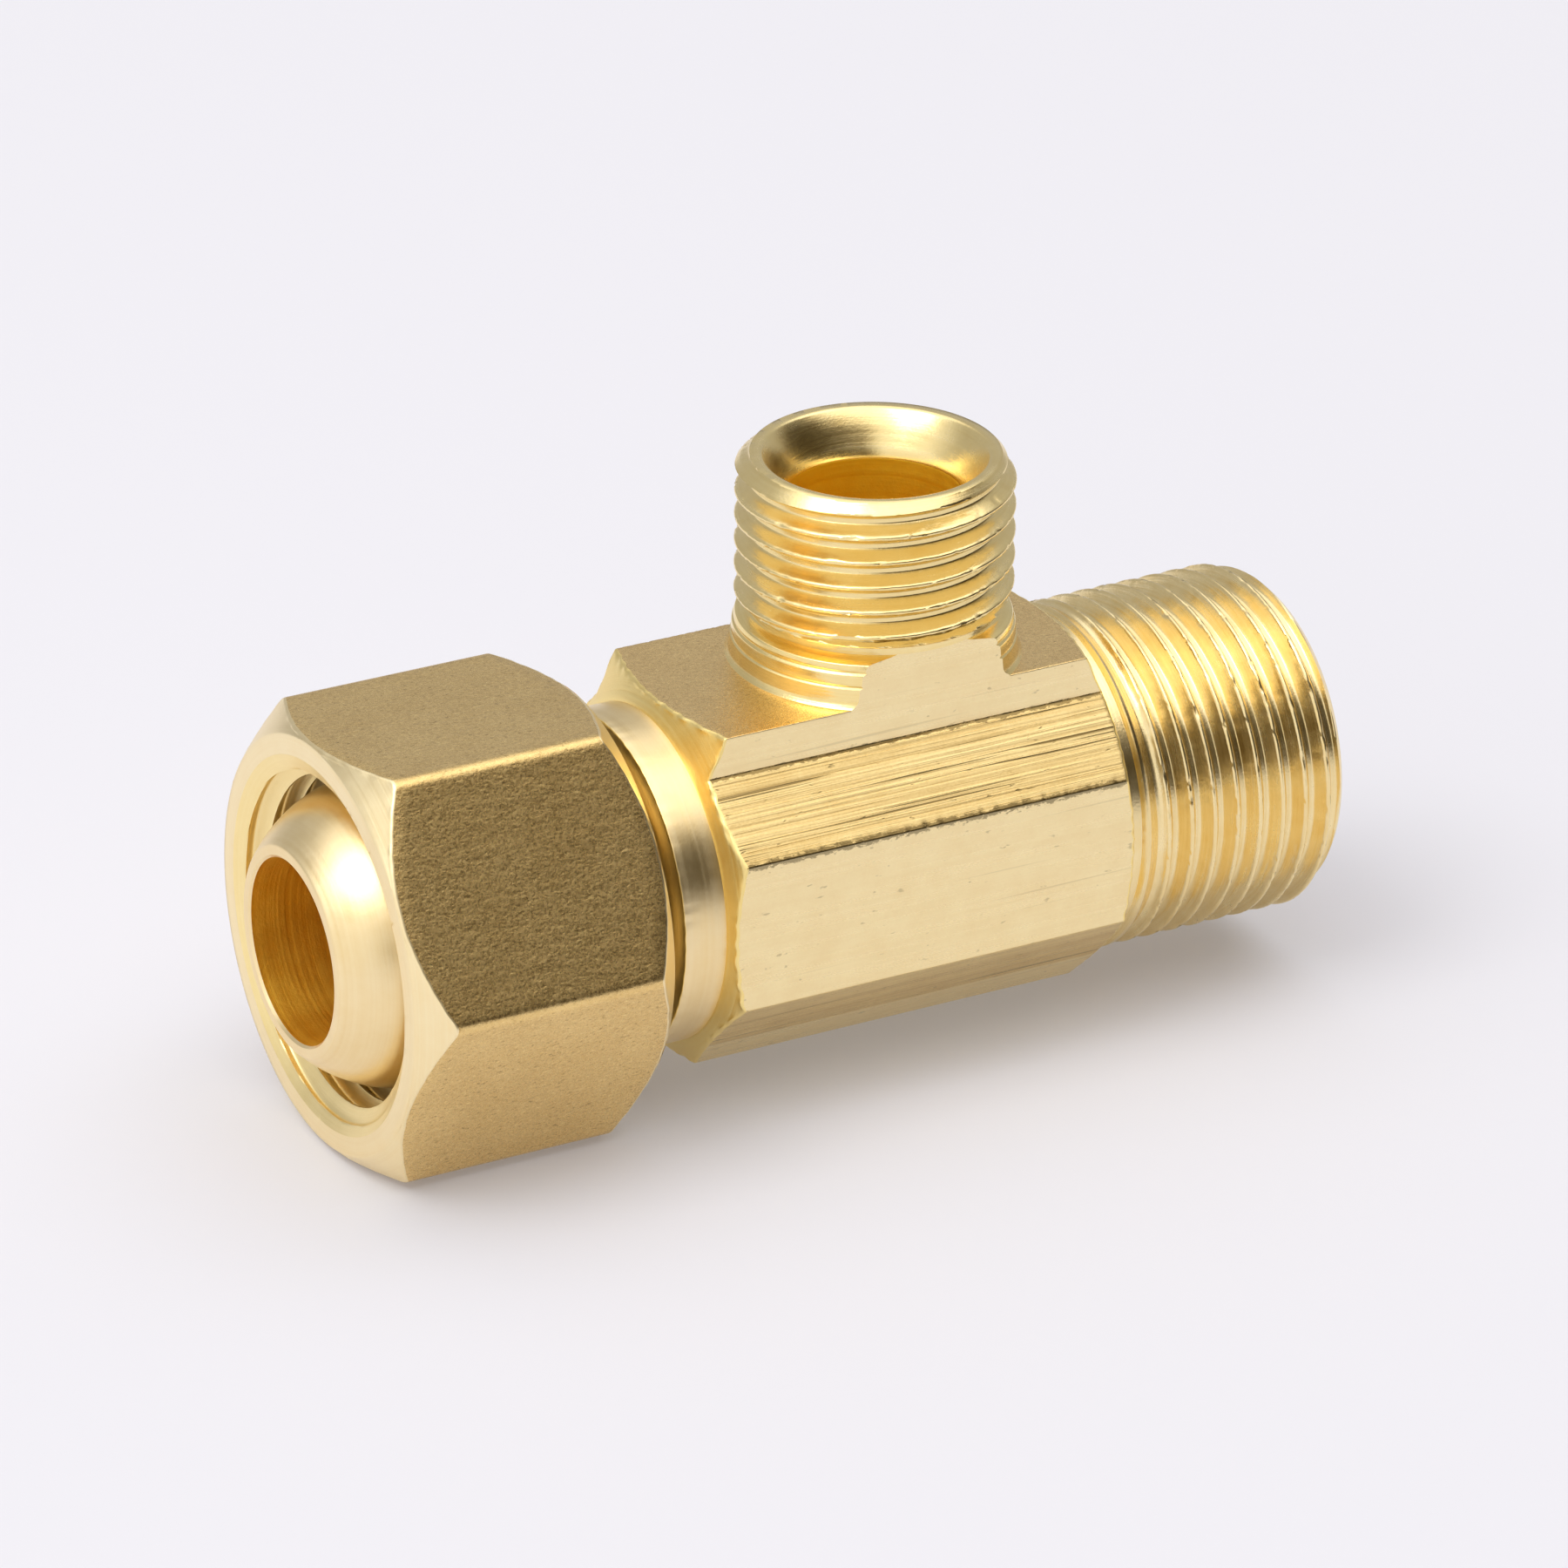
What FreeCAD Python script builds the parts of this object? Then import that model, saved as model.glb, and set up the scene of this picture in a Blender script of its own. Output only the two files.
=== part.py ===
# Brass compression tee with a captive swivel nut.
#
# Frame: millimetres, +Z up. The origin is where the axis of the branch meets the axis of the run.
# The run lies along X: the ball nose and its swivel nut are at -X, the male outlet is at +X.
# The branch stands up along +Z.

import FreeCAD, Part
import Sketcher
import math
import os

SIZES = [
    # thread of the outlet and of the swivel nut, 9/16-24
    ("run_major_radius", 7.13),
    ("run_pitch", 1.058),
    # thread of the branch, 7/16-24
    ("branch_major_radius", 5.55),
    ("branch_pitch", 1.058),
    ("thread_depth", 0.60),
    ("thread_root_width", 0.20),
    ("thread_crest_width", 0.17),
    ("thread_overlap", 0.02),
    # extruded bar: an octagon with a stem standing on it
    ("bar_half_width", 7.30),
    ("bar_side_half_height", 3.10),
    ("bar_bottom_half_width", 3.10),
    ("stem_half_width", 4.70),
    ("stem_foot_height", 5.80),
    ("flat_height", 7.50),
    ("bar_left_reach", 10.20),
    ("bar_right_reach", 8.00),
    ("end_cone_slope", 0.55),
    # collar behind the nut, neck and ball nose
    ("collar_length", 1.80),
    ("collar_step", 1.34),
    ("neck_length", 4.60),
    ("neck_step", 0.78),
    ("nose_clearance", 0.31),
    ("nose_land", 4.46),
    ("nose_lip_wall", 0.482),
    # outlet
    ("outlet_length", 10.10),
    ("outlet_relief_step", 0.18),
    ("outlet_relief_length", 1.25),
    ("outlet_thread_start", 0.476),
    ("outlet_chamfer", 0.65),
    ("outlet_wall", 2.28),
    ("outlet_socket_depth", 8.50),
    ("outlet_mouth_flare", 1.10),
    ("run_seat_step", 1.10),
    # branch
    ("branch_length", 8.48),
    ("branch_chamfer", 0.58),
    ("branch_wall", 2.10),
    ("branch_socket_depth", 8.00),
    ("branch_mouth_flare", 1.20),
    ("branch_seat_step", 0.85),
    ("branch_thread_start", 0.370),
    ("shoulder_height", 1.60),
    ("shoulder_step", 0.17),
    ("shoulder_flare", 0.58),
    ("shoulder_foot_slope", 0.70),
    ("runout_length", 0.80),
    ("runout_step", 0.57),
    ("ledge_slope", 0.60),
    ("stem_flat_foot_gap", 0.20),
    ("stem_flat_top_gap", 0.30),
    # swivel nut
    ("nut_gap", 1.30),
    ("nut_length", 11.25),
    ("nut_wall", 1.31),
    ("nut_turn", 27.60),
    ("nut_edge_round", 0.25),
    ("nut_chamfer_inset", 0.05),
    ("nut_chamfer_slope", 0.86),
    ("nut_mouth_flare", 0.47),
    ("nut_relief_step", 0.12),
    ("nut_relief_length", 0.90),
    ("nut_thread_clearance", 0.06),
    ("nut_lip_clearance", 0.17),
    ("nut_lip_length", 0.84),
    # retaining ring
    ("ring_wire", 1.20),
    ("ring_float", 0.45),
    ("ring_neck_clearance", 0.10),
    ("ring_groove_clearance", 0.06),
    ("ring_gap_angle", 24.0),
    # how far a cutter reaches past the face it cuts
    ("overrun", 1.00),
]

# radii and places that follow from the sizes above
NOSE_RADIUS = "(run_major_radius + nut_thread_clearance - thread_depth - nose_clearance)"
NECK_RADIUS = "(%s - neck_step)" % NOSE_RADIUS
COLLAR_RADIUS = "(%s + collar_step)" % NECK_RADIUS
OUTLET_SOCKET_RADIUS = "(run_major_radius - outlet_wall)"
RUN_BORE_RADIUS = "(%s - run_seat_step)" % OUTLET_SOCKET_RADIUS
NOSE_LIP_RADIUS = "(%s + nose_lip_wall)" % RUN_BORE_RADIUS
BRANCH_SOCKET_RADIUS = "(branch_major_radius - branch_wall)"
BRANCH_BORE_RADIUS = "(%s - branch_seat_step)" % BRANCH_SOCKET_RADIUS
SHOULDER_RADIUS = "(branch_major_radius + shoulder_step)"
RUNOUT_RADIUS = "(branch_major_radius - runout_step)"

COLLAR_LEFT = "(-bar_left_reach - collar_length)"
NOSE_SHOULDER = "(%s - neck_length)" % COLLAR_LEFT
NOSE_CENTRE = "(%s - nose_land)" % NOSE_SHOULDER
NOSE_TIP = "(%s - sqrt(%s^2 - %s^2))" % (NOSE_CENTRE, NOSE_RADIUS, NOSE_LIP_RADIUS)
OUTLET_END = "(bar_right_reach + outlet_length)"
BRANCH_TOP = "(flat_height + branch_length)"
SHOULDER_TOP = "(flat_height + shoulder_height)"
RUNOUT_TOP = "(%s + runout_length)" % SHOULDER_TOP

NUT_RIGHT = "(%s - nut_gap)" % COLLAR_LEFT
NUT_LEFT = "(%s - nut_length)" % NUT_RIGHT
NUT_ACROSS_FLATS = "(2 * (run_major_radius + nut_thread_clearance + nut_wall))"
RING_CENTRE = "(%s + ring_wire / 2 + ring_float)" % NOSE_SHOULDER
RING_MIDDLE_RADIUS = "(%s + ring_neck_clearance + ring_wire / 2)" % NECK_RADIUS

doc = FreeCAD.newDocument("compression_tee")
sheet = doc.addObject("Spreadsheet::Sheet", "Sizes")
for row, (alias, value) in enumerate(SIZES, start=1):
    sheet.set("A%d" % row, alias)
    sheet.set("B%d" % row, str(value))
    sheet.setAlias("B%d" % row, alias)
doc.recompute()


def bound(expression):
    """Put the sheet's name in front of every size used in an expression."""
    words = []
    word = ""
    for letter in expression + " ":
        if letter.isalnum() or letter == "_":
            word += letter
            continue
        words.append("Sizes." + word if word in ALIASES else word)
        words.append(letter)
        word = ""
    return "".join(words).strip()


ALIASES = {alias for alias, value in SIZES}


def number(expression):
    """The present value of an expression of sizes."""
    holder.setExpression("Value", bound(expression))
    holder.recompute()
    return holder.Value


holder = doc.addObject("App::FeaturePython", "Reckoner")
holder.addProperty("App::PropertyFloat", "Value")


def new_body(label):
    body = doc.addObject("PartDesign::Body", label)
    body.Label = label
    doc.recompute()
    return body


def origin_item(body, role):
    return [item for item in body.Origin.OriginFeatures if item.Role == role][0]


def outline(body, name, plane, corners, offset=None, arcs=()):
    """A closed sketch through the corners, each an (x, y) pair of expressions.

    arcs names the sides that are arcs: {side number: (centre x expression, middle point)}.
    """
    sketch = body.newObject("Sketcher::SketchObject", name)
    sketch.AttachmentSupport = [(origin_item(body, plane), "")]
    sketch.MapMode = "FlatFace"
    if offset is not None:
        sketch.setExpression(".AttachmentOffset.Base.z", bound(offset))
    places = [FreeCAD.Vector(number(x), number(y), 0) for x, y in corners]
    count = len(places)
    arcs = dict(arcs)
    for side in range(count):
        start, end = places[side], places[(side + 1) % count]
        if side in arcs:
            centre = FreeCAD.Vector(number(arcs[side]), 0, 0)
            reach = start - centre
            other = end - centre
            circle = Part.Circle(centre, FreeCAD.Vector(0, 0, 1), reach.Length)
            first = math.atan2(other.y, other.x)
            last = math.atan2(reach.y, reach.x)
            sketch.addGeometry(Part.ArcOfCircle(circle, first, last), False)
        else:
            sketch.addGeometry(Part.LineSegment(start, end), False)

    def begin(side):
        return 2 if side in arcs else 1

    def finish(side):
        return 1 if side in arcs else 2

    for side in range(count):
        after = (side + 1) % count
        sketch.addConstraint(Sketcher.Constraint("Coincident", side, finish(side), after, begin(after)))
    for side, (x, y) in enumerate(corners):
        for kind, expression, value in (("DistanceX", x, places[side].x), ("DistanceY", y, places[side].y)):
            index = sketch.addConstraint(
                Sketcher.Constraint(kind, -1, 1, side, begin(side), value))
            sketch.setExpression("Constraints[%d]" % index, bound(expression))
    for side, centre in arcs.items():
        index = sketch.addConstraint(
            Sketcher.Constraint("DistanceX", -1, 1, side, 3, number(centre)))
        sketch.setExpression("Constraints[%d]" % index, bound(centre))
    sketch.Visibility = False
    doc.recompute()
    return sketch


def feature(body, kind, name, sketch, **settings):
    """Add a PartDesign feature on a sketch; a text setting is an expression of sizes."""
    before = body.Shape.Volume if body.Shape and not body.Shape.isNull() else 0.0
    item = body.newObject("PartDesign::" + kind, name)
    item.Profile = sketch
    for key, value in settings.items():
        if isinstance(value, str):
            item.setExpression(key, bound(value))
        else:
            setattr(item, key, value)
    doc.recompute()
    body.Tip = item
    doc.recompute()
    check(item)
    if abs(body.Shape.Volume - before) < 1e-6:
        raise RuntimeError(name + " changes nothing")
    return item


def check(item):
    for state in item.State:
        if state in ("Invalid", "Error"):
            raise RuntimeError("%s is %s" % (item.Name, state))


def turned(body, name, corners, axis, cut=False, arcs=()):
    """Add or cut a solid of revolution; its half outline is drawn in the XZ plane."""
    sketch = outline(body, name + "_outline", "XZ_Plane", corners, arcs=arcs)
    kind = "Groove" if cut else "Revolution"
    return feature(body, kind, name, sketch, ReferenceAxis=(sketch, [axis]), Angle=360.0)


def thread(body, name, axis, along, radius, pitch, height, inside=False):
    """Cut a right-handed thread whose first groove is at `along` on the axis.

    radius is the crest of a male thread or the root of a female one.
    """
    half_mouth = "(%s - thread_crest_width) / 2" % pitch
    half_root = "thread_root_width / 2"
    if inside:
        mouth, root = "(%s) - thread_depth - thread_overlap" % radius, radius
    else:
        mouth, root = "(%s) + thread_overlap" % radius, "(%s) - thread_depth" % radius
    corners = [
        ("(%s) - %s" % (along, half_mouth), mouth),
        ("(%s) - %s" % (along, half_root), root),
        ("(%s) + %s" % (along, half_root), root),
        ("(%s) + %s" % (along, half_mouth), mouth),
    ]
    if axis == "V_Axis":
        corners = [(y, x) for x, y in corners]
    sketch = outline(body, name + "_outline", "XZ_Plane", corners)
    return feature(body, "SubtractiveHelix", name, sketch, ReferenceAxis=(sketch, [axis]),
                   Mode=0, Pitch=pitch, Height=height)


def make_tee_body():
    body = new_body("tee_body")
    half = [
        ("bar_bottom_half_width", "-bar_half_width"),
        ("bar_half_width", "-bar_side_half_height"),
        ("bar_half_width", "bar_side_half_height"),
        ("stem_half_width", "stem_foot_height"),
        ("stem_half_width", "flat_height"),
    ]
    other_half = [("-" + x, y) for x, y in reversed(half)]
    bar = outline(body, "bar_profile", "YZ_Plane", half + other_half, offset="-bar_left_reach")
    feature(body, "Pad", "bar", bar, Length="bar_left_reach + bar_right_reach")

    # turned cones take the corners off both ends of the bar
    corner = "(bar_half_width + flat_height)"
    turned(body, "collar_cone", [
        ("-bar_left_reach", COLLAR_RADIUS),
        ("-bar_left_reach + end_cone_slope * (%s - %s)" % (corner, COLLAR_RADIUS), corner),
        ("-bar_left_reach", corner),
    ], "H_Axis", cut=True)
    turned(body, "outlet_cone", [
        ("bar_right_reach", "run_major_radius"),
        ("bar_right_reach", corner),
        ("bar_right_reach - end_cone_slope * (%s - run_major_radius)" % corner, corner),
    ], "H_Axis", cut=True)

    turned(body, "ball_nose", [
        (NOSE_TIP, "0"),
        (NOSE_TIP, NOSE_LIP_RADIUS),
        (NOSE_CENTRE, NOSE_RADIUS),
        (NOSE_SHOULDER, NOSE_RADIUS),
        (NOSE_SHOULDER, NECK_RADIUS),
        (COLLAR_LEFT, NECK_RADIUS),
        (COLLAR_LEFT, COLLAR_RADIUS),
        ("-bar_left_reach + overrun", COLLAR_RADIUS),
        ("-bar_left_reach + overrun", "0"),
    ], "H_Axis", arcs={1: NOSE_CENTRE})

    relief_radius = "(run_major_radius - outlet_relief_step)"
    relief_end = "(bar_right_reach + outlet_relief_length)"
    turned(body, "outlet", [
        ("bar_right_reach - overrun", "0"),
        ("bar_right_reach - overrun", relief_radius),
        (relief_end, relief_radius),
        (relief_end, "run_major_radius"),
        (OUTLET_END + " - outlet_chamfer", "run_major_radius"),
        (OUTLET_END, "run_major_radius - outlet_chamfer"),
        (OUTLET_END, "0"),
    ], "H_Axis")

    # the branch with its shoulder stands on the milled flat
    foot_radius = "(%s + shoulder_flare)" % SHOULDER_RADIUS
    turned(body, "branch", [
        ("0", "flat_height - overrun"),
        (foot_radius, "flat_height - overrun"),
        (foot_radius, "flat_height"),
        (SHOULDER_RADIUS, "flat_height + shoulder_flare * shoulder_foot_slope"),
        (SHOULDER_RADIUS, SHOULDER_TOP),
        (RUNOUT_RADIUS, "%s + (%s - %s) * ledge_slope" % (SHOULDER_TOP, SHOULDER_RADIUS, RUNOUT_RADIUS)),
        (RUNOUT_RADIUS, RUNOUT_TOP),
        ("branch_major_radius", RUNOUT_TOP + " + runout_step * ledge_slope"),
        ("branch_major_radius", BRANCH_TOP + " - branch_chamfer"),
        ("branch_major_radius - branch_chamfer", BRANCH_TOP),
        ("0", BRANCH_TOP),
    ], "V_Axis")

    # the stem's own flats are left on the shoulder
    wide = "(%s + overrun)" % foot_radius
    low = "stem_foot_height + stem_flat_foot_gap"
    high = SHOULDER_TOP + " + stem_flat_top_gap"
    for side, place in (("front", "stem_half_width"), ("back", "-stem_half_width")):
        flat = outline(body, side + "_flat_outline", "XZ_Plane", [
            ("-" + wide, low),
            (wide, low),
            (wide, high),
            ("-" + wide, high),
        ], offset=place)
        feature(body, "Pocket", side + "_flat", flat, Type=0, Length=wide,
                Reversed=side == "front")

    # passages
    mouth_radius = "(%s + outlet_mouth_flare)" % OUTLET_SOCKET_RADIUS
    turned(body, "run_bore", [
        (NOSE_TIP + " - overrun", "0"),
        (NOSE_TIP + " - overrun", RUN_BORE_RADIUS),
        (OUTLET_END + " - outlet_socket_depth", RUN_BORE_RADIUS),
        (OUTLET_END + " - outlet_socket_depth", OUTLET_SOCKET_RADIUS),
        (OUTLET_END + " - outlet_mouth_flare", OUTLET_SOCKET_RADIUS),
        (OUTLET_END, mouth_radius),
        (OUTLET_END + " + overrun", mouth_radius + " + overrun"),
        (OUTLET_END + " + overrun", "0"),
    ], "H_Axis", cut=True)
    mouth_radius = "(%s + branch_mouth_flare)" % BRANCH_SOCKET_RADIUS
    turned(body, "branch_bore", [
        ("0", "0"),
        (BRANCH_BORE_RADIUS, "0"),
        (BRANCH_BORE_RADIUS, BRANCH_TOP + " - branch_socket_depth"),
        (BRANCH_SOCKET_RADIUS, BRANCH_TOP + " - branch_socket_depth"),
        (BRANCH_SOCKET_RADIUS, BRANCH_TOP + " - branch_mouth_flare"),
        (mouth_radius, BRANCH_TOP),
        (mouth_radius + " + overrun", BRANCH_TOP + " + overrun"),
        ("0", BRANCH_TOP + " + overrun"),
    ], "V_Axis", cut=True)

    thread(body, "outlet_thread", "H_Axis", relief_end + " + outlet_thread_start",
           "run_major_radius", "run_pitch", "outlet_length - outlet_relief_length")
    thread(body, "branch_thread", "V_Axis", RUNOUT_TOP + " + branch_thread_start",
           "branch_major_radius", "branch_pitch", "%s - %s" % (BRANCH_TOP, RUNOUT_TOP))
    return body


def make_swivel_nut():
    body = new_body("swivel_nut")
    corners = []
    for side in range(6):
        turn = "nut_turn + %d" % (60 * side)
        corners.append(("-%s / sqrt(3) * sin((%s) * 1 deg)" % (NUT_ACROSS_FLATS, turn),
                        "%s / sqrt(3) * cos((%s) * 1 deg)" % (NUT_ACROSS_FLATS, turn)))
    hexagon = outline(body, "nut_hexagon", "YZ_Plane", corners, offset=NUT_LEFT)
    feature(body, "Pad", "nut_blank", hexagon, Length="nut_length")

    edges = []
    for index, edge in enumerate(body.Shape.Edges, start=1):
        direction = edge.tangentAt(edge.FirstParameter)
        if abs(direction.x) > 0.99:
            edges.append("Edge%d" % index)
    blank = body.Tip
    rounding = body.newObject("PartDesign::Fillet", "nut_edges")
    rounding.Base = (blank, edges)
    rounding.setExpression("Radius", bound("nut_edge_round"))
    doc.recompute()
    body.Tip = rounding
    doc.recompute()
    check(rounding)

    start = "(%s / 2 - nut_chamfer_inset)" % NUT_ACROSS_FLATS
    for name, end, way in (("front_chamfer", NUT_LEFT, "+"), ("rear_chamfer", NUT_RIGHT, "-")):
        slant = "nut_chamfer_slope * (%s - %s)" % (NUT_ACROSS_FLATS, start)
        turned(body, name, [
            (end, start),
            ("%s %s %s" % (end, way, slant), NUT_ACROSS_FLATS),
            (end, NUT_ACROSS_FLATS),
        ], "H_Axis", cut=True)

    root = "(run_major_radius + nut_thread_clearance)"
    minor = "(%s - thread_depth)" % root
    mouth = "(run_major_radius + nut_mouth_flare)"
    relief = "(run_major_radius + nut_relief_step)"
    lip = "(%s + nut_lip_clearance)" % NOSE_RADIUS
    groove = "(%s + ring_wire / 2 + ring_groove_clearance)" % RING_MIDDLE_RADIUS
    groove_left = "(%s - ring_wire / 2 - ring_groove_clearance)" % RING_CENTRE
    groove_right = "(%s + ring_wire / 2 + ring_groove_clearance)" % RING_CENTRE
    relief_end = "(%s - nut_lip_length)" % groove_left
    thread_end = "(%s - nut_relief_length)" % relief_end
    turned(body, "nut_bore", [
        (NUT_LEFT + " - overrun", "0"),
        (NUT_LEFT + " - overrun", mouth + " + overrun"),
        (NUT_LEFT, mouth),
        ("%s + %s - %s" % (NUT_LEFT, mouth, minor), minor),
        (thread_end, minor),
        (thread_end, relief),
        (relief_end, relief),
        (relief_end, lip),
        (groove_left, lip),
        (groove_left, groove),
        (groove_right, groove),
        (groove_right, lip),
        (NUT_RIGHT + " + overrun", lip),
        (NUT_RIGHT + " + overrun", "0"),
    ], "H_Axis", cut=True)
    thread(body, "nut_thread", "H_Axis", NUT_LEFT + " - run_pitch / 2",
           root, "run_pitch", "%s - %s + run_pitch" % (thread_end, NUT_LEFT), inside=True)
    return body


def make_retaining_ring():
    body = new_body("retaining_ring")
    sketch = body.newObject("Sketcher::SketchObject", "ring_wire_section")
    sketch.AttachmentSupport = [(origin_item(body, "XZ_Plane"), "")]
    sketch.MapMode = "FlatFace"
    place = FreeCAD.Vector(number(RING_CENTRE), number(RING_MIDDLE_RADIUS), 0)
    sketch.addGeometry(Part.Circle(place, FreeCAD.Vector(0, 0, 1), number("ring_wire / 2")), False)
    for kind, expression in (("DistanceX", RING_CENTRE), ("DistanceY", RING_MIDDLE_RADIUS)):
        index = sketch.addConstraint(Sketcher.Constraint(kind, -1, 1, 0, 3, number(expression)))
        sketch.setExpression("Constraints[%d]" % index, bound(expression))
    index = sketch.addConstraint(Sketcher.Constraint("Radius", 0, number("ring_wire / 2")))
    sketch.setExpression("Constraints[%d]" % index, bound("ring_wire / 2"))
    doc.recompute()
    feature(body, "Revolution", "ring_wire_turn", sketch, ReferenceAxis=(sketch, ["H_Axis"]),
            Angle="360 - ring_gap_angle")
    return body


pieces = [make_tee_body(), make_retaining_ring(), make_swivel_nut()]
doc.removeObject(holder.Name)
doc.recompute()
for item in doc.Objects:
    check(item)
os.makedirs("parts", exist_ok=True)
for piece in pieces:
    shape = piece.Shape
    if shape.isNull() or not shape.isValid() or not shape.Solids:
        raise RuntimeError(piece.Label + " is not a valid solid")
    print("%-16s volume %9.2f mm3, solids %d" % (piece.Label, shape.Volume, len(shape.Solids)))
    shape.exportStep("parts/%s.step" % piece.Label)
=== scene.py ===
import math

import bmesh
import bpy
import numpy as np
from mathutils import Matrix, Vector


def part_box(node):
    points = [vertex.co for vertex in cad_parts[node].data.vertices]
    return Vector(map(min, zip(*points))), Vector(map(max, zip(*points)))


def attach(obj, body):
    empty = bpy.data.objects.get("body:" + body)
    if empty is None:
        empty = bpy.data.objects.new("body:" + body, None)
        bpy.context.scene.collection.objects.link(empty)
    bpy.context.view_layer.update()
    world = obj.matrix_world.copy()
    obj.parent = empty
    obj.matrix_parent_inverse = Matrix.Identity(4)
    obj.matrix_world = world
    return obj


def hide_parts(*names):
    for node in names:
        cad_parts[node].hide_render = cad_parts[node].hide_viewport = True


# Brass compression tee with a captive swivel nut, dressed for the library.
# Everything is in the part's own frame: metres, the run along X, the branch up along Z.

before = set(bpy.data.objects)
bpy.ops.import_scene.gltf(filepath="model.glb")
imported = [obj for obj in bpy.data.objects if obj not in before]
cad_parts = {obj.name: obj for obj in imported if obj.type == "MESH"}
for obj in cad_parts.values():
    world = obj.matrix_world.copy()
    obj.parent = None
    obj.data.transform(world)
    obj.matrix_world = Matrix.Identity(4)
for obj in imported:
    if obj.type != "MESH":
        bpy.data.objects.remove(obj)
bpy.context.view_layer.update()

MM = 0.001

# sizes in millimetres, as on the drawing
RUN_R = 7.13
BRANCH_R = 5.55
PITCH = 1.058
THREAD_DEPTH = 0.60
BAR_L, BAR_R = -10.20, 8.00
BAR_HALF = 7.30
BAR_SIDE = 3.10
STEM_HALF = 4.70
STEM_FOOT = 5.80
FLAT_Z = 7.50
CONE = 0.55
COLLAR_R, COLLAR_L = 6.84, -12.00
NECK_R = 5.50
SHOULDER_X = -16.60
NOSE_R, NOSE_C, NOSE_TIP = 6.28, -21.06, -25.70
BORE_R = 3.75
SEAT_X = 9.60
SOCKET_R = 4.85
MOUTH_R = 5.95
OUTLET_END = 18.10
RELIEF_R, RELIEF_X = 6.95, 9.25
BRANCH_TOP = 15.98
BRANCH_BORE = 2.60
BRANCH_SOCKET = 3.45
BRANCH_SEAT = 7.98
BRANCH_MOUTH = 4.52
SHOULDER_R, SHOULDER_TOP = 5.72, 9.10
FOOT_R = 5.90
RUNOUT_R, RUNOUT_Z = 4.98, 9.90
NUT_L, NUT_R = -24.55, -13.30
NUT_FLATS = 17.00
NUT_TURN = math.radians(27.60)
NUT_CHAMFER_R, NUT_SLOPE = 8.45, 0.86
NUT_MOUTH = 7.60
NUT_CREST = 6.59
NUT_ROOT = 7.19
NUT_THREAD_END = -17.95
NUT_RELIEF_R, NUT_RELIEF_END = 7.25, -17.05
NUT_LIP_R = 6.45
RING_X, RING_WIRE, RING_R = -15.55, 1.20, 6.20
RING_GAP = math.radians(24.0)
GROOVE_R, GROOVE_HALF = 6.86, 0.66
OUTLET_CHAMFER, BRANCH_CHAMFER = 0.65, 0.58

# rounds on the long edges, and the width of the softened edge where a cone meets the flats
BAR_ROUND, MILLED_ROUND, FLAT_ROUND, STEP_ROUND = 0.18, 0.14, 0.06, 0.02
NUT_ROUND = 0.55
BAR_EDGE, NUT_EDGE = 0.05, 0.06

# how fine the surfaces are: points along a section, round a thread and along the flats
BAR_SPACING, NUT_SPACING = 0.16, 0.18
THREAD_STEPS = 240
BAR_ROWS = 150

# points closer than this are merged, in metres
WELD, BAR_WELD, CUT_WELD, THREAD_WELD, NUT_WELD = 2e-6, 2e-7, 1e-8, 4e-6, 1e-6
SLIVER = 1e-7


# ---------------------------------------------------------------- materials

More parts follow.
